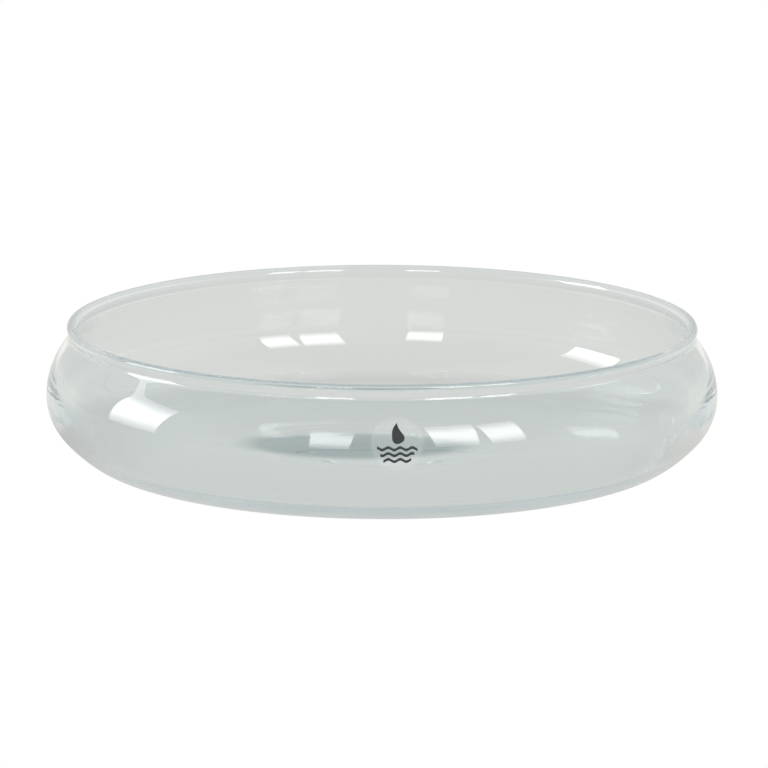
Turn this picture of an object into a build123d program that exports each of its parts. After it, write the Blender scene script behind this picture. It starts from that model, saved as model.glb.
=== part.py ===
from build123d import *
from math import atan2, cos, degrees, pi, radians, sin, sqrt
import os

# A low, round bowl of blown clear glass for floating candles, with a clear film sticker on its front.
# Its profile is a chain of arcs and straight stretches that run smoothly into each other.
# The bowl stands on z = 0 around the Z axis, with its front to -Y.

# Driving dimensions of the outer profile, in millimetres, with sweeps and slopes in degrees
belly_diameter = 300.0        # widest width of the bowl
belly_radius = 24.7           # arc just under the belly
belly_sweep = 42.2
flank_radius = 59.3           # flatter arc between belly and heel
flank_sweep = 12.9
heel_radius = 20.2            # arc that turns the flank into the base
shoulder_radius = 34.4        # arc from the belly up and inwards
shoulder_sweep = 33.0
wall_length = 12.7            # straight leaning wall, from the shoulder up to the middle of the lip

# Driving dimensions of the lip, a fire-polished bead that turns outwards
lip_radius = 1.8
lip_overhang = 3.4            # how far the bead reaches out from the outside of the leaning wall
lip_fillet = 3.5              # soft hollow under the bead, outside
lip_turn_radius = 4.0         # arc that turns the inside of the wall outwards

# Driving dimensions of the base, which dips from the heel to a flat foot and is pushed up in the middle
base_slope = 3.0
foot_diameter = 112.0         # middle of the flat ring that the bowl stands on
foot_width = 4.0
kick_rise = 1.4               # height of the pushed-up middle
base_fillet = 100.0           # soft bends on both sides of the foot

# Driving dimensions of the glass, which is thin at the lip and thickens down to the base
wall = 1.7
inner_shoulder_radius = 26.5  # inner arc from the leaning wall out to the widest part of the inside
floor_thickness = 4.5

# Driving dimensions of the sticker
sticker_diameter = 22.0
sticker_thickness = 0.15
sticker_rise = 15.5           # degrees up the shoulder arc, from the belly to the sticker's middle
sticker_turn = 2.5            # degrees around the bowl, from the front towards +X

# Directions in degrees: in the profile from outwards towards up, and around the Z axis for the front
DOWN = degrees(-pi / 2)
UP = degrees(pi / 2)
INWARDS = degrees(pi)
FRONT = degrees(-pi / 2)


def on_circle(center, radius, angle):
    """Point of a circle in the profile, at an angle from outwards towards up."""
    return (center[0] + radius * cos(radians(angle)), center[1] + radius * sin(radians(angle)))


def arc(center, radius, start, end):
    """Arc of a circle in the profile, from one angle to another."""
    return CenterArc(center, radius, start, end - start)


# Angles where the arcs below the belly meet
belly_end = -belly_sweep
flank_end = belly_end - flank_sweep
heel_start = DOWN + base_slope

# The base from the axis out: the kick, the flat foot between two soft bends, and the slope up to the heel
foot_inside = foot_diameter / 2 - foot_width / 2
foot_outside = foot_diameter / 2 + foot_width / 2
kick_reach = sqrt(foot_inside ** 2 - 2 * kick_rise * base_fillet)
kick_radius = (kick_reach ** 2 + kick_rise ** 2) / (2 * kick_rise)
kick_slope = degrees(atan2(foot_inside, kick_radius + base_fillet - kick_rise))
slope_start = on_circle((foot_outside, base_fillet), base_fillet, heel_start)

# Centres of the outer arcs: the belly's width sets how far out the heel lies, the slope how high
heel_out = (
    belly_diameter / 2 - belly_radius
    + (belly_radius - flank_radius) * cos(radians(belly_end))
    + (flank_radius - heel_radius) * cos(radians(flank_end))
)
slope_length = (heel_out - slope_start[0] + heel_radius * sin(radians(base_slope))) / cos(radians(base_slope))
heel_height = slope_start[1] + slope_length * sin(radians(base_slope)) + heel_radius * cos(radians(base_slope))
heel_center = (heel_out, heel_height)
flank_center = on_circle(heel_center, heel_radius - flank_radius, flank_end)
belly_center = on_circle(flank_center, flank_radius - belly_radius, belly_end)
shoulder_center = (belly_diameter / 2 - shoulder_radius, belly_center[1])
shoulder_end = on_circle(shoulder_center, shoulder_radius, shoulder_sweep)


def from_wall(out, along):
    """Point of the profile, measured out from the leaning wall and along it from the end of the shoulder."""
    return on_circle(on_circle(shoulder_end, out, shoulder_sweep), along, shoulder_sweep + UP)


# The lip: the bead's middle, the hollow outside and the turn inside, placed from the leaning wall
lip_out = lip_overhang - lip_radius
crease_drop = sqrt((lip_radius + lip_fillet) ** 2 - (lip_out - lip_fillet) ** 2)
turn_out = lip_turn_radius - wall
turn_drop = sqrt((lip_turn_radius - lip_radius) ** 2 - (lip_out - turn_out) ** 2)
lip_center = from_wall(lip_out, wall_length)
crease_center = from_wall(lip_fillet, wall_length - crease_drop)
turn_center = from_wall(turn_out, wall_length - turn_drop)
crease_end = shoulder_sweep + degrees(atan2(crease_drop, lip_out - lip_fillet))
turn_start = shoulder_sweep + degrees(atan2(turn_drop, lip_out - turn_out))
wall_side = shoulder_sweep + INWARDS

# Centres of the inner arcs: the inner belly takes up what is left between the inner shoulder and the heel
inner_shoulder_center = from_wall(-wall - inner_shoulder_radius, 0)
inner_heel_radius = heel_radius - floor_thickness
belly_across = inner_shoulder_center[0] + inner_shoulder_radius - heel_center[0]
belly_drop = inner_shoulder_center[1] - heel_center[1]
inner_belly_radius = (
    (belly_across ** 2 + belly_drop ** 2 - inner_heel_radius ** 2) / (2 * (belly_across - inner_heel_radius))
)
inner_belly_center = (heel_center[0] + belly_across - inner_belly_radius, inner_shoulder_center[1])
inner_belly_end = degrees(atan2(-belly_drop, inner_belly_radius - belly_across))


def base_line(height, heel_foot):
    """One side of the base, at this height over the table, from the foot of the heel's arc to the axis."""
    outer_bend = (foot_outside, height + base_fillet)
    inner_bend = (foot_inside, height + base_fillet)
    Line(heel_foot, on_circle(outer_bend, base_fillet, heel_start))
    arc(outer_bend, base_fillet, heel_start, DOWN)
    Line((foot_outside, height), (foot_inside, height))
    arc(inner_bend, base_fillet, DOWN, DOWN - kick_slope)
    arc((0, height + kick_rise - kick_radius), kick_radius, UP - kick_slope, UP)


def glass_bowl():
    """The whole vessel, turned from one closed profile."""
    with BuildPart() as bowl:
        with BuildSketch(Plane.XZ):
            with BuildLine():
                # Outside, from the axis to the lip
                base_line(0, on_circle(heel_center, heel_radius, heel_start))
                arc(heel_center, heel_radius, heel_start, flank_end)
                arc(flank_center, flank_radius, flank_end, belly_end)
                arc(belly_center, belly_radius, belly_end, 0)
                arc(shoulder_center, shoulder_radius, 0, shoulder_sweep)
                Line(shoulder_end, from_wall(0, wall_length - crease_drop))
                # Lip
                arc(crease_center, lip_fillet, wall_side, crease_end)
                arc(lip_center, lip_radius, crease_end - INWARDS, turn_start)
                arc(turn_center, lip_turn_radius, turn_start, wall_side)
                # Inside, from the lip to the axis
                Line(from_wall(-wall, wall_length - turn_drop), from_wall(-wall, 0))
                arc(inner_shoulder_center, inner_shoulder_radius, shoulder_sweep, 0)
                arc(inner_belly_center, inner_belly_radius, 0, inner_belly_end)
                arc(heel_center, inner_heel_radius, inner_belly_end, heel_start)
                base_line(floor_thickness, on_circle(heel_center, inner_heel_radius, heel_start))
                Line((0, floor_thickness + kick_rise), (0, kick_rise))
            make_face()
        revolve(axis=Axis.Z)
    return bowl.part


def clear_sticker():
    """A round film that follows the curve of the shoulder."""
    reach = degrees(sticker_diameter / shoulder_radius)
    lower = sticker_rise - reach
    upper = sticker_rise + reach
    outside = shoulder_radius + sticker_thickness
    middle = on_circle(shoulder_center, shoulder_radius, sticker_rise)
    outwards = (cos(radians(sticker_rise)), 0, sin(radians(sticker_rise)))
    with BuildPart() as film:
        with BuildSketch(Plane.XZ):
            with BuildLine():
                arc(shoulder_center, shoulder_radius, lower, upper)
                arc(shoulder_center, outside, lower, upper)
                for end in (lower, upper):
                    Line(on_circle(shoulder_center, shoulder_radius, end), on_circle(shoulder_center, outside, end))
            make_face()
        revolve(axis=Axis.Z)
        with BuildSketch(Plane(origin=(middle[0], 0, middle[1]), z_dir=outwards)):
            Circle(sticker_diameter / 2)
        extrude(amount=sticker_diameter / 2, both=True, mode=Mode.INTERSECT)
    return film.part.rotate(Axis.Z, FRONT + sticker_turn)


os.makedirs("parts", exist_ok=True)
export_step(glass_bowl(), "parts/glass_bowl.step")
export_step(clear_sticker(), "parts/clear_sticker.step")
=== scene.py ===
from math import asin, atan2, cos, degrees, pi, radians, sin, sqrt, tan
import bpy
from mathutils import Matrix, Vector


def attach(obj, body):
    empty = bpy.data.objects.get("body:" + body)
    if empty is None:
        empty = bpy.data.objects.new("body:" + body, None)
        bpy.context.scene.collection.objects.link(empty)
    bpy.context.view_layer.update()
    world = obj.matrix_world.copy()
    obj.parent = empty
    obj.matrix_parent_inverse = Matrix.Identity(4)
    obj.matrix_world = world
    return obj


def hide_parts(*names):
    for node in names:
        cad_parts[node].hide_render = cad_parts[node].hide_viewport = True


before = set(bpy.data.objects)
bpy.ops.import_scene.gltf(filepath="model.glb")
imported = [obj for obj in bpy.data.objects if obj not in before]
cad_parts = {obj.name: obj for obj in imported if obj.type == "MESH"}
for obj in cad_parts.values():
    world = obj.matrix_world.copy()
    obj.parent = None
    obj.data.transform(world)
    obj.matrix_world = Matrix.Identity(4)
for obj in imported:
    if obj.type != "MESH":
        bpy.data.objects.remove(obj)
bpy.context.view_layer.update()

# Lengths are in metres. The bowl stands on z = 0 around the Z axis, with its front to -Y.
MM = 0.001

# Outer profile of the bowl, with sweeps and slopes in degrees
belly_diameter = 300 * MM
belly_radius = 24.7 * MM
belly_sweep = 42.2
flank_radius = 59.3 * MM
flank_sweep = 12.9
heel_radius = 20.2 * MM
shoulder_radius = 34.4 * MM
shoulder_sweep = 33.0
wall_length = 12.7 * MM

# The lip, a fire-polished bead that turns outwards
lip_radius = 1.8 * MM
lip_overhang = 3.4 * MM
lip_fillet = 3.5 * MM
lip_turn_radius = 4 * MM

# The base, which dips from the heel to a flat foot and is pushed up in the middle
base_slope = 3.0
foot_diameter = 112 * MM
foot_width = 4 * MM
kick_rise = 1.4 * MM
base_fillet = 100 * MM

# The glass, thin at the lip and thicker towards the base
wall = 1.7 * MM
inner_shoulder_radius = 26.5 * MM
floor_thickness = 4.5 * MM

# The sticker, on the shoulder a little right of the front, with heights of film and print over the glass
sticker_diameter = 22 * MM
sticker_rise = 15.5
sticker_turn = 2.5
film_bottom = 0.03 * MM
film_top = 0.12 * MM
print_top = 0.14 * MM

# How finely the glass is turned: steps around the axis, and degrees or rings along the profile
turn_steps = 440
arc_step = 3.0
fine_step = 1.5
bead_step = 9.0
dome_rings = 12
bend_rings = 4
foot_rings = 2
wall_rings = 6
slope_rings = 10

# How finely the sticker is divided: the film around and across, and a printed strip along and across
film_sides = 96
film_rings = 10
print_steps = 36
print_columns = 4

# Directions in the profile, in degrees from outwards towards up
DOWN = -90.0
UP = 90.0
INWARDS = 180.0

# Sockets that share their name with others: colours of a Mix node, and shaders of a Mix Shader node
MIX_FIRST = 6
MIX_SECOND = 7
MIX_RESULT = 2
SHADER_FIRST = 1
SHADER_SECOND = 2

WHITE = (1, 1, 1, 1)


def on_circle(center, radius, angle):
    """Point of a circle in the profile, at an angle from outwards towards up."""
    return (center[0] + radius * cos(radians(angle)), center[1] + radius * sin(radians(angle)))


# Angles where the arcs below the belly meet
belly_end = -belly_sweep
flank_end = belly_end - flank_sweep
heel_start = DOWN + base_slope

# The base from the axis out: the kick, the flat foot between two soft bends, and the slope up to the heel
foot_inside = foot_diameter / 2 - foot_width / 2
foot_outside = foot_diameter / 2 + foot_width / 2
kick_reach = sqrt(foot_inside ** 2 - 2 * kick_rise * base_fillet)
kick_radius = (kick_reach ** 2 + kick_rise ** 2) / (2 * kick_rise)
kick_slope = degrees(atan2(foot_inside, kick_radius + base_fillet - kick_rise))
slope_start = on_circle((foot_outside, base_fillet), base_fillet, heel_start)

# Centres of the outer arcs
slope_angle = radians(base_slope)
heel_out = (
    belly_diameter / 2 - belly_radius
    + (belly_radius - flank_radius) * cos(radians(belly_end))
    + (flank_radius - heel_radius) * cos(radians(flank_end))
)
slope_length = (heel_out - slope_start[0] + heel_radius * sin(slope_angle)) / cos(slope_angle)
heel_height = slope_start[1] + slope_length * sin(slope_angle) + heel_radius * cos(slope_angle)
heel_center = (heel_out, heel_height)
flank_center = on_circle(heel_center, heel_radius - flank_radius, flank_end)
belly_center = on_circle(flank_center, flank_radius - belly_radius, belly_end)
shoulder_center = (belly_diameter / 2 - shoulder_radius, belly_center[1])
shoulder_end = on_circle(shoulder_center, shoulder_radius, shoulder_sweep)


def from_wall(out, along):
    """Point of the profile, measured out from the leaning wall and along it from the shoulder's end."""
    return on_circle(on_circle(shoulder_end, out, shoulder_sweep), along, shoulder_sweep + UP)


# The lip: the bead's middle, the hollow outside and the turn inside
lip_out = lip_overhang - lip_radius
crease_drop = sqrt((lip_radius + lip_fillet) ** 2 - (lip_out - lip_fillet) ** 2)
turn_out = lip_turn_radius - wall
turn_drop = sqrt((lip_turn_radius - lip_radius) ** 2 - (lip_out - turn_out) ** 2)
lip_center = from_wall(lip_out, wall_length)
crease_center = from_wall(lip_fillet, wall_length - crease_drop)
turn_center = from_wall(turn_out, wall_length - turn_drop)
crease_end = shoulder_sweep + degrees(atan2(crease_drop, lip_out - lip_fillet))
turn_start = shoulder_sweep + degrees(atan2(turn_drop, lip_out - turn_out))
wall_side = shoulder_sweep + INWARDS

# Centres of the inner arcs
inner_shoulder_center = from_wall(-wall - inner_shoulder_radius, 0)
inner_heel_radius = heel_radius - floor_thickness
belly_across = inner_shoulder_center[0] + inner_shoulder_radius - heel_center[0]
belly_drop = inner_shoulder_center[1] - heel_center[1]
inner_belly_radius = (
    (belly_across ** 2 + belly_drop ** 2 - inner_heel_radius ** 2)
    / (2 * (belly_across - inner_heel_radius))
)
inner_belly_center = (heel_center[0] + belly_across - inner_belly_radius, inner_shoulder_center[1])
inner_belly_end = degrees(atan2(-belly_drop, inner_belly_radius - belly_across))


def arc_points(center, radius, start, end, step=arc_step):
    """Points of an arc in the profile, without its first one."""
    count = max(2, round(abs(end - start) / step))
    return [on_circle(center, radius, start + (end - start) * i / count) for i in range(1, count + 1)]


def line_points(start, end, count):
    """Points of a straight stretch of the profile, without its first one."""
    return [
        (start[0] + (end[0] - start[0]) * i / count, start[1] + (end[1] - start[1]) * i / count)
        for i in range(1, count + 1)
    ]


def base_points(height, heel_foot):
    """One side of the base, at this height over the table, from just off the axis to the heel's arc."""
    dome_center = (0, height + kick_rise - kick_radius)
    inner_bend = (foot_inside, height + base_fillet)
    outer_bend = (foot_outside, height + base_fillet)
    points = arc_points(dome_center, kick_radius, UP, UP - kick_slope, kick_slope / dome_rings)
    points += arc_points(inner_bend, base_fillet, DOWN - kick_slope, DOWN, kick_slope / bend_rings)
    points += line_points(points[-1], (foot_outside, height), foot_rings)
    points += arc_points(outer_bend, base_fillet, DOWN, heel_start, base_slope / bend_rings)
    points += line_points(points[-1], heel_foot, slope_rings)
    return points


def bowl_profile():
    """The whole profile, from just off the axis underneath, over the lip, to just off the axis inside."""
    points = base_points(0, on_circle(heel_center, heel_radius, heel_start))
    points += arc_points(heel_center, heel_radius, heel_start, flank_end)
    points += arc_points(flank_center, flank_radius, flank_end, belly_end, fine_step)
    points += arc_points(belly_center, belly_radius, belly_end, 0)
    points += arc_points(shoulder_center, shoulder_radius, 0, shoulder_sweep, fine_step)
    points += line_points(points[-1], from_wall(0, wall_length - crease_drop), wall_rings)
    points += arc_points(crease_center, lip_fillet, wall_side, crease_end, bead_step)
    points += arc_points(lip_center, lip_radius, crease_end - INWARDS, turn_start, bead_step)
    points += arc_points(turn_center, lip_turn_radius, turn_start, wall_side, bead_step)
    points += line_points(points[-1], from_wall(-wall, 0), wall_rings)
    points += arc_points(inner_shoulder_center, inner_shoulder_radius, shoulder_sweep, 0)
    points += arc_points(inner_belly_center, inner_belly_radius, 0, inner_belly_end)
    points += arc_points(heel_center, inner_heel_radius, inner_belly_end, heel_start)
    inside = base_points(floor_thickness, points[-1])
    points += reversed(inside[:-1])
    return points


def turned(profile):
    """Vertices and faces of a closed body turned from the profile, whose ends lie just off the axis."""
    vertices = []
    for radius, height in profile:
        for i in range(turn_steps):
            angle = 2 * pi * i / turn_steps
            vertices.append(Vector((radius * cos(angle), radius * sin(angle), height)))
    faces = []
    for ring in range(len(profile) - 1):
        for i in range(turn_steps):
            j = (i + 1) % turn_steps
            low = ring * turn_steps
            high = low + turn_steps
            faces.append((low + i, low + j, high + j, high + i))
    bottom = len(vertices)
    vertices.append(Vector((0, 0, kick_rise)))
    vertices.append(Vector((0, 0, floor_thickness + kick_rise)))
    last = (len(profile) - 1) * turn_steps
    for i in range(turn_steps):
        j = (i + 1) % turn_steps
        faces.append((j, i, bottom))
        faces.append((last + i, last + j, bottom + 1))
    return vertices, faces


def new_piece(name, vertices, faces, node, slot, material):
    """A smooth mesh that rides on the bowl's body; node is the CAD node that it stands for, if any."""
    mesh = bpy.data.meshes.new(name)
    mesh.from_pydata(vertices, [], faces)
    mesh.validate()
    mesh.shade_smooth()
    mesh.materials.append(material)
    piece = bpy.data.objects.new(name, mesh)
    bpy.context.scene.collection.objects.link(piece)
    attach(piece, "root")
    if node:
        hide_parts(node)


def new_material(name):
    """A node material, its Principled shader and its node tree."""
    material = bpy.data.materials.new(name)
    material.use_nodes = True
    tree = material.node_tree
    return material, tree.nodes["Principled BSDF"], tree


def color_mix(tree, method="MIX"):
    """A node that mixes two colours."""
    mix = tree.nodes.new("ShaderNodeMix")
    mix.data_type = "RGBA"
    mix.blend_type = method
    return mix


def color_ramp(tree, value, stops):
    """A colour that follows a value through these stops."""
    ramp = tree.nodes.new("ShaderNodeValToRGB")
    elements = ramp.color_ramp.elements
    while len(elements) < len(stops):
        elements.new(1)
    for element, (position, color) in zip(elements, stops.items()):
        element.position = position
        element.color = (*color, 1)
    tree.links.new(value, ramp.inputs["Fac"])
    return ramp.outputs["Color"]


# Surface of the glass, with slow ripples: how many there are in a metre and how deep they are
glass_roughness = 0
glass_refraction = 1.5
glass_clearness = 1
ripple_scale = 28
ripple_detail = 1
ripple_depth = 0.03 * MM

# Colour of the glass: at the surface of the wall and of the lip, and along the way of light through it
wall_tint = (0.918, 0.958, 0.962, 1)
lip_tint = (0.9, 0.95, 0.96, 1)
depth_tint = (0.5, 0.64, 0.68, 1)
depth_density = 1

# Heights between which the tint of the wall turns into that of the lip
lip_tint_start = lip_center[1] - 2 * lip_radius
lip_tint_end = lip_center[1] - lip_radius


def glass_material():
    """Clear blown glass with slow ripples and a faint green-grey tint, stronger in the lip."""
    material, shader, tree = new_material("clear_glass")
    place = tree.nodes.new("ShaderNodeTexCoord")
    split = tree.nodes.new("ShaderNodeSeparateXYZ")
    share = tree.nodes.new("ShaderNodeMapRange")
    share.inputs["From Min"].default_value = lip_tint_start
    share.inputs["From Max"].default_value = lip_tint_end
    tint = color_mix(tree)
    tint.inputs[MIX_FIRST].default_value = wall_tint
    tint.inputs[MIX_SECOND].default_value = lip_tint
    ripples = tree.nodes.new("ShaderNodeTexNoise")
    ripples.inputs["Scale"].default_value = ripple_scale
    ripples.inputs["Detail"].default_value = ripple_detail
    relief = tree.nodes.new("ShaderNodeBump")
    relief.inputs["Distance"].default_value = ripple_depth
    depth = tree.nodes.new("ShaderNodeVolumeAbsorption")
    depth.inputs["Color"].default_value = depth_tint
    depth.inputs["Density"].default_value = depth_density
    shader.inputs["Roughness"].default_value = glass_roughness
    shader.inputs["IOR"].default_value = glass_refraction
    shader.inputs["Transmission Weight"].default_value = glass_clearness
    tree.links.new(place.outputs["Object"], split.inputs["Vector"])
    tree.links.new(split.outputs["Z"], share.inputs["Value"])
    tree.links.new(share.outputs["Result"], tint.inputs["Factor"])
    tree.links.new(tint.outputs[MIX_RESULT], shader.inputs["Base Color"])
    tree.links.new(place.outputs["Object"], ripples.inputs["Vector"])
    tree.links.new(ripples.outputs["Fac"], relief.inputs["Height"])
    tree.links.new(relief.outputs["Normal"], shader.inputs["Normal"])
    tree.links.new(depth.outputs["Volume"], tree.nodes["Material Output"].inputs["Volume"])
    return material


# The film: its colour, how much of it shows, and its roughness, which a fine haze makes uneven
film_color = (0.9, 0.93, 0.93, 1)
film_cover = 0.05
film_roughness = (0.12, 0.3)
film_grain = 900


def film_material():
    """Thin clear film with a faint haze."""
    material, shader, tree = new_material("sticker_film")
    place = tree.nodes.new("ShaderNodeTexCoord")
    haze = tree.nodes.new("ShaderNodeTexNoise")
    haze.inputs["Scale"].default_value = film_grain
    rough = tree.nodes.new("ShaderNodeMapRange")
    rough.inputs["To Min"].default_value = film_roughness[0]
    rough.inputs["To Max"].default_value = film_roughness[1]
    shader.inputs["Base Color"].default_value = film_color
    shader.inputs["Alpha"].default_value = film_cover
    tree.links.new(place.outputs["Object"], haze.inputs["Vector"])
    tree.links.new(haze.outputs["Fac"], rough.inputs["Value"])
    tree.links.new(rough.outputs["Result"], shader.inputs["Roughness"])
    return material


def sticker_point(across, up, height):
    """Point over the sticker's place on the shoulder: across and up are measured square to its middle."""
    climb = radians(sticker_rise) + asin(up / shoulder_radius)
    reach = shoulder_radius + height
    out = shoulder_center[0] + reach * cos(climb)
    turn = radians(DOWN + sticker_turn) + asin(across / out)
    return Vector((out * cos(turn), out * sin(turn), shoulder_center[1] + reach * sin(climb)))


def sticker_film():
    """A round film that follows the curve of the shoulder."""
    radius = sticker_diameter / 2
    vertices = []
    faces = []
    for height in (film_bottom, film_top):
        for ring in range(1, film_rings + 1):
            for i in range(film_sides):
                angle = 2 * pi * i / film_sides
                reach = radius * ring / film_rings
                vertices.append(sticker_point(reach * cos(angle), reach * sin(angle), height))
    back = len(vertices)
    vertices.append(sticker_point(0, 0, film_bottom))
    vertices.append(sticker_point(0, 0, film_top))
    front_start = film_rings * film_sides
    edge = (film_rings - 1) * film_sides
    for i in range(film_sides):
        j = (i + 1) % film_sides
        for ring in range(film_rings - 1):
            low = ring * film_sides
            faces.append((low + i, low + j, low + film_sides + j, low + film_sides + i))
            low += front_start
            faces.append((low + i, low + film_sides + i, low + film_sides + j, low + j))
        faces.append((j, i, back))
        faces.append((front_start + i, front_start + j, back + 1))
        faces.append((edge + i, edge + j, front_start + edge + j, front_start + edge + i))
    new_piece("sticker_film", vertices, faces, "clear_sticker", "sticker_film", film_material())


# The print: wavy lines, each shorter than the one above it, measured from the sticker's middle
wave_count = 3
wave_first = -2.2 * MM
wave_pitch = 2.4 * MM
wave_reach = 8.4 * MM
wave_taper = 1.3 * MM
wave_height = 0.5 * MM
wave_repeat = 5 * MM
wave_width = 1.15 * MM

# The print: a flame over the lines, with its widest place drawn down and its tip drawn in
flame_foot = -0.3 * MM
flame_height = 9 * MM
flame_width = 5.6 * MM
flame_sway = 0.5 * MM
flame_sag = 0.6
flame_taper = 0.25

# Ink of the print: grains in a metre, its two greys and its gloss
ink_grain = 1500
ink_dark = (0.012, 0.014, 0.015)
ink_pale = (0.05, 0.055, 0.057)
ink_roughness = 0.5
ink_shine = 0.2


def printed(first_edge, second_edge):
    """Vertices and faces of a printed strip between two edges, split across to follow the shoulder."""
    vertices = []
    faces = []
    for start, end in zip(first_edge, second_edge):
        for i in range(print_columns + 1):
            across = start[0] + (end[0] - start[0]) * i / print_columns
            up = start[1] + (end[1] - start[1]) * i / print_columns
            vertices.append(sticker_point(across, up, print_top))
    for row in range(len(first_edge) - 1):
        for i in range(print_columns):
            low = row * (print_columns + 1) + i
            high = low + print_columns + 1
            faces.append((low, low + 1, high + 1, high))
    return vertices, faces


def wave_edges(number):
    """Upper and lower edge of one wavy line."""
    reach = wave_reach - wave_taper * number
    middle = wave_first - wave_pitch * number
    upper = []
    lower = []
    for i in range(print_steps + 1):
        across = reach * (2 * i / print_steps - 1)
        up = middle + wave_height * sin(2 * pi * across / wave_repeat)
        upper.append((across, up + wave_width / 2))
        lower.append((across, up - wave_width / 2))
    return upper, lower


def flame_edges():
    """Left and right edge of the flame, from its foot to its tip."""
    left = []
    right = []
    for i in range(print_steps + 1):
        share = i / print_steps
        half = flame_width / 2 * sin(pi * share ** flame_sag) * (1 - share * flame_taper)
        sway = flame_sway * sin(2 * pi * share)
        up = flame_foot + flame_height * share
        left.append((sway - half, up))
        right.append((sway + half, up))
    return left, right


def print_material():
    """Dark grey ink, a little uneven."""
    material, shader, tree = new_material("sticker_print")
    place = tree.nodes.new("ShaderNodeTexCoord")
    speckle = tree.nodes.new("ShaderNodeTexNoise")
    speckle.inputs["Scale"].default_value = ink_grain
    shader.inputs["Roughness"].default_value = ink_roughness
    shader.inputs["Specular IOR Level"].default_value = ink_shine
    ink = color_ramp(tree, speckle.outputs["Fac"], {0: ink_dark, 1: ink_pale})
    tree.links.new(place.outputs["Object"], speckle.inputs["Vector"])
    tree.links.new(ink, shader.inputs["Base Color"])
    return material


def sticker_print():
    """The wavy lines and the flame, on top of the film."""
    strips = [printed(*wave_edges(number)) for number in range(wave_count)]
    strips.append(printed(*flame_edges()))
    vertices = []
    faces = []
    for strip_vertices, strip_faces in strips:
        first = len(vertices)
        vertices += strip_vertices
        faces += [[first + corner for corner in face] for face in strip_faces]
    new_piece("sticker_print", vertices, faces, None, "sticker_film", print_material())


# The camera, found by a fit of the outline, with its lens and sensor in millimetres
camera_distance = 2.0
camera_elevation = 11.88
camera_roll = 0.2
camera_lens = 209.19
camera_sensor = 36
camera_reach = 50
camera_aim = Vector((0.9 * MM, 0, belly_center[1] + 3.17 * MM))


def camera():
    """The photograph's camera."""
    data = bpy.data.cameras.new("camera")
    data.lens = camera_lens
    data.sensor_width = camera_sensor
    data.clip_end = camera_reach
    seat = bpy.data.objects.new("camera", data)
    bpy.context.scene.collection.objects.link(seat)
    tilt = radians(camera_elevation)
    back = Vector((0, -cos(tilt), sin(tilt)))
    turn = (-back).to_track_quat("-Z", "Y")
    seat.location = camera_aim + back * camera_distance
    seat.rotation_mode = "QUATERNION"
    seat.rotation_quaternion = turn @ Matrix.Rotation(radians(camera_roll), 3, "Z").to_quaternion()
    bpy.context.scene.camera = seat


def white_to_camera(tree, kind, output, light):
    """Shows white to the camera and this light to the glass, with two shaders of one kind."""
    path = tree.nodes.new("ShaderNodeLightPath")
    mix = tree.nodes.new("ShaderNodeMixShader")
    lit = tree.nodes.new(kind)
    plain = tree.nodes.new(kind)
    plain.inputs["Color"].default_value = WHITE
    tree.links.new(light, lit.inputs["Color"])
    tree.links.new(path.outputs["Is Camera Ray"], mix.inputs["Fac"])
    tree.links.new(lit.outputs[0], mix.inputs[SHADER_FIRST])
    tree.links.new(plain.outputs[0], mix.inputs[SHADER_SECOND])
    tree.links.new(mix.outputs["Shader"], output.inputs["Surface"])


# The floor: how large it is, how far it lies below the bowl, and its light where the glass shows it
floor_size = 8.0
floor_gap = 0.3 * MM
floor_light = (0.75, 0.736, 0.711)

# Painted shades and light of the floor are shares of its light by distance from a middle, in metres,
# stretched by a spread
all_round = (1, 1, 1)
clear = (1, 1, 1)

# Painted shadow of the bowl, soft and darkest below the belly
painted_ring_shade = {
    0: (0.97, 0.97, 0.97),
    0.112: (0.96, 0.96, 0.96),
    0.13: (0.88, 0.88, 0.88),
    0.155: (0.86, 0.86, 0.86),
    0.19: clear,
}

# A deeper painted shade close to the left of the bowl
painted_left_shade = {0: (0.8, 0.82, 0.83), 0.04: (0.85, 0.87, 0.88), 0.08: clear}
left_middle = Vector((-160 * MM, 10 * MM, 0))

# More painted light on the floor to both sides of the bowl
painted_side_light = {0.15: clear, 0.22: (1.18, 1.18, 1.17), 0.4: (1.3, 1.3, 1.28)}
side_spread = (1, 0, 0)

# A painted dark shade under the pushed-up base
painted_base_shade = {0: (0.36, 0.42, 0.43), 0.043: (0.42, 0.49, 0.5), 0.056: clear}
patch_spread = (1, 1.5, 1)
patch_middle = Vector((-12 * MM, -6 * MM, 0))

# Most faces of glass through which the painted shade under the base stays hidden; a wall and the base
# together have one more
hidden_faces = 3


def shade_around(tree, spread, middle, shade):
    """Colour of a painted shade or painted light on the floor, by distance from its middle."""
    place = tree.nodes.new("ShaderNodeNewGeometry")
    away = tree.nodes.new("ShaderNodeVectorMath")
    away.operation = "SUBTRACT"
    away.inputs[1].default_value = middle
    stretched = tree.nodes.new("ShaderNodeVectorMath")
    stretched.operation = "MULTIPLY"
    stretched.inputs[1].default_value = spread
    reach = tree.nodes.new("ShaderNodeVectorMath")
    reach.operation = "LENGTH"
    tree.links.new(place.outputs["Position"], away.inputs[0])
    tree.links.new(away.outputs["Vector"], stretched.inputs[0])
    tree.links.new(stretched.outputs["Vector"], reach.inputs[0])
    return color_ramp(tree, reach.outputs["Value"], shade)


def shaded(tree, light, shade):
    """A node that multiplies the floor's light by a painted shade or painted light."""
    mix = color_mix(tree, "MULTIPLY")
    mix.inputs["Factor"].default_value = 1
    tree.links.new(light, mix.inputs[MIX_FIRST])
    tree.links.new(shade, mix.inputs[MIX_SECOND])
    return mix


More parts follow.
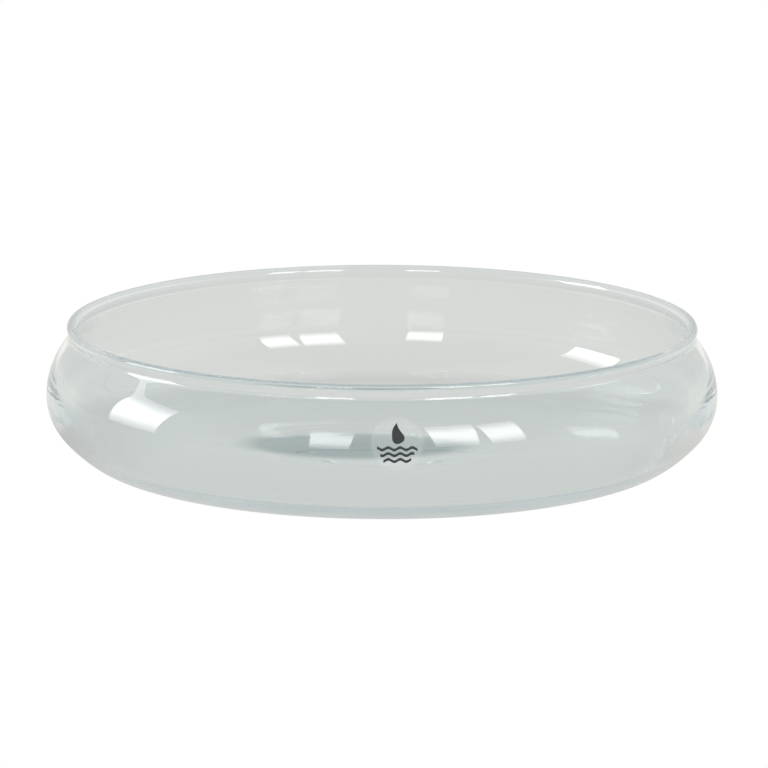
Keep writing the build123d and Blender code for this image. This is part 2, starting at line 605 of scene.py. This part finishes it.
def floor_material():
    """White to the camera; pale, with a painted shadow of the bowl and painted shade and light, where the
    glass shows it.
    """
    material = bpy.data.materials.new("floor")
    material.use_nodes = True
    tree = material.node_tree
    tree.nodes.clear()
    lit_ring = {}
    for distance, shares in painted_ring_shade.items():
        lit_ring[distance] = [full * share for full, share in zip(floor_light, shares)]
    light = shade_around(tree, all_round, Vector(), lit_ring)
    other_shades = (
        (all_round, left_middle, painted_left_shade),
        (side_spread, Vector(), painted_side_light),
    )
    for spread, middle, shade in other_shades:
        light = shaded(tree, light, shade_around(tree, spread, middle, shade)).outputs[MIX_RESULT]
    # The painted shade under the base, shown only through enough faces of glass
    patch = shaded(tree, light, shade_around(tree, patch_spread, patch_middle, painted_base_shade))
    path = tree.nodes.new("ShaderNodeLightPath")
    deep = tree.nodes.new("ShaderNodeMath")
    deep.operation = "GREATER_THAN"
    deep.inputs[1].default_value = hidden_faces
    tree.links.new(path.outputs["Transmission Depth"], deep.inputs[0])
    tree.links.new(deep.outputs["Value"], patch.inputs["Factor"])
    output = tree.nodes.new("ShaderNodeOutputMaterial")
    white_to_camera(tree, "ShaderNodeEmission", output, patch.outputs[MIX_RESULT])
    return material


def floor():
    """The floor that the bowl stands on."""
    half = floor_size / 2
    corners = [
        (-half, -half, -floor_gap),
        (half, -half, -floor_gap),
        (half, half, -floor_gap),
        (-half, half, -floor_gap),
    ]
    mesh = bpy.data.meshes.new("floor")
    mesh.from_pydata(corners, [], [(0, 1, 2, 3)])
    mesh.materials.append(floor_material())
    plane = bpy.data.objects.new("floor", mesh)
    bpy.context.scene.collection.objects.link(plane)


# Light of the studio as the glass sees it, by elevation in degrees: behind the bowl, beside and before it
back_light = {
    0: (0.76, 0.745, 0.72),
    9: (0.68, 0.67, 0.645),
    20: (0.62, 0.64, 0.64),
    45: (0.7, 0.75, 0.75),
}
side_light = {
    0: (0.82, 0.84, 0.84),
    15: (0.76, 0.78, 0.79),
    40: (0.5, 0.53, 0.54),
}
front_light = {
    0: (0.62, 0.63, 0.63),
    20: (0.5, 0.5, 0.5),
    30: (0.45, 0.45, 0.44),
    90: (0.3, 0.3, 0.29),
}

# Azimuths from the back, in degrees, over which the light turns from behind to beside and on to before
side_turn = (65, 85)
front_turn = (105, 125)


def light_by_height(tree, height, light):
    """Light of one side of the studio, which follows the height of the direction."""
    stops = {sin(radians(elevation)): color for elevation, color in light.items()}
    return color_ramp(tree, height, stops)


def blend(tree, backwards, azimuths, first, second):
    """Changes from one light to another as the direction turns from behind the bowl to its front."""
    share = tree.nodes.new("ShaderNodeMapRange")
    share.inputs["From Min"].default_value = cos(radians(azimuths[0]))
    share.inputs["From Max"].default_value = cos(radians(azimuths[1]))
    mix = color_mix(tree)
    tree.links.new(backwards, share.inputs["Value"])
    tree.links.new(share.outputs["Result"], mix.inputs["Factor"])
    tree.links.new(first, mix.inputs[MIX_FIRST])
    tree.links.new(second, mix.inputs[MIX_SECOND])
    return mix.outputs[MIX_RESULT]


def studio_world():
    """White behind the bowl for the camera; for the glass, a pale sweep with dimmer room around it."""
    world = bpy.data.worlds.new("studio")
    bpy.context.scene.world = world
    world.use_nodes = True
    tree = world.node_tree
    tree.nodes.clear()
    place = tree.nodes.new("ShaderNodeTexCoord")
    split = tree.nodes.new("ShaderNodeSeparateXYZ")
    level = tree.nodes.new("ShaderNodeVectorMath")
    level.operation = "MULTIPLY"
    level.inputs[1].default_value = (1, 1, 0)
    heading = tree.nodes.new("ShaderNodeVectorMath")
    heading.operation = "NORMALIZE"
    split_heading = tree.nodes.new("ShaderNodeSeparateXYZ")
    tree.links.new(place.outputs["Generated"], split.inputs["Vector"])
    tree.links.new(place.outputs["Generated"], level.inputs[0])
    tree.links.new(level.outputs["Vector"], heading.inputs[0])
    tree.links.new(heading.outputs["Vector"], split_heading.inputs["Vector"])
    height = split.outputs["Z"]
    backwards = split_heading.outputs["Y"]
    behind = light_by_height(tree, height, back_light)
    beside = light_by_height(tree, height, side_light)
    before = light_by_height(tree, height, front_light)
    around = blend(tree, backwards, side_turn, behind, beside)
    light = blend(tree, backwards, front_turn, around, before)
    output = tree.nodes.new("ShaderNodeOutputWorld")
    white_to_camera(tree, "ShaderNodeBackground", output, light)


# Softboxes before the bowl: azimuths from the front towards +X and elevations, in degrees
softboxes = {
    "left_window": ((-105, -82), (1.5, 29.6)),
    "front_window": ((-25, -11), (9, 32)),
    "right_window_a": ((18.5, 34), (12, 40)),
    "right_window_b": ((38.5, 51), (12, 38)),
}
softbox_middle = Vector((0, -120 * MM, belly_center[1] + 12 * MM))
softbox_distance = 1.5
softbox_glow = 9.5

# Fade of a softbox towards its upper and lower edge, in shares of its height, and the glow at the edge
fade_share = 0.4
half_height = 0.5
edge_glow = 0.25


def fade(light):
    """Lets a softbox fade towards its upper and lower edge."""
    light.use_nodes = True
    tree = light.node_tree
    place = tree.nodes.new("ShaderNodeNewGeometry")
    split = tree.nodes.new("ShaderNodeSeparateXYZ")
    inwards = tree.nodes.new("ShaderNodeMath")
    inwards.operation = "PINGPONG"
    inwards.inputs[1].default_value = half_height
    glow = tree.nodes.new("ShaderNodeMapRange")
    glow.interpolation_type = "SMOOTHSTEP"
    glow.inputs["From Max"].default_value = fade_share
    glow.inputs["To Min"].default_value = edge_glow
    tree.links.new(place.outputs["Parametric"], split.inputs["Vector"])
    tree.links.new(split.outputs["Y"], inwards.inputs[0])
    tree.links.new(inwards.outputs["Value"], glow.inputs["Value"])
    tree.links.new(glow.outputs["Result"], tree.nodes["Emission"].inputs["Strength"])


def softbox(name, azimuths, elevations):
    """A softbox over this range of directions; the glass mirrors it, but isn't looked through to it."""
    light = bpy.data.lights.new(name, "AREA")
    light.shape = "RECTANGLE"
    light.size = 2 * softbox_distance * tan(radians(azimuths[1] - azimuths[0]) / 2)
    light.size_y = 2 * softbox_distance * tan(radians(elevations[1] - elevations[0]) / 2)
    light.energy = softbox_glow * pi * light.size * light.size_y
    fade(light)
    azimuth = radians(sum(azimuths) / 2)
    elevation = radians(sum(elevations) / 2)
    away = Vector((sin(azimuth) * cos(elevation), -cos(azimuth) * cos(elevation), sin(elevation)))
    lamp = bpy.data.objects.new(name, light)
    bpy.context.scene.collection.objects.link(lamp)
    lamp.location = softbox_middle + away * softbox_distance
    lamp.rotation_mode = "QUATERNION"
    lamp.rotation_quaternion = (-away).to_track_quat("-Z", "Y")
    lamp.visible_transmission = False


new_piece("glass_bowl_blown", *turned(bowl_profile()), "glass_bowl", "clear_glass", glass_material())
sticker_film()
sticker_print()
camera()
floor()
studio_world()
for name, (azimuths, elevations) in softboxes.items():
    softbox(name, azimuths, elevations)

# Bounces enough for the light that runs around inside the glass
light_bounces = 256

scene = bpy.context.scene
scene.view_settings.view_transform = "Standard"
scene.cycles.max_bounces = light_bounces
scene.cycles.transmission_bounces = light_bounces
scene.cycles.glossy_bounces = light_bounces
scene.cycles.use_denoising = True
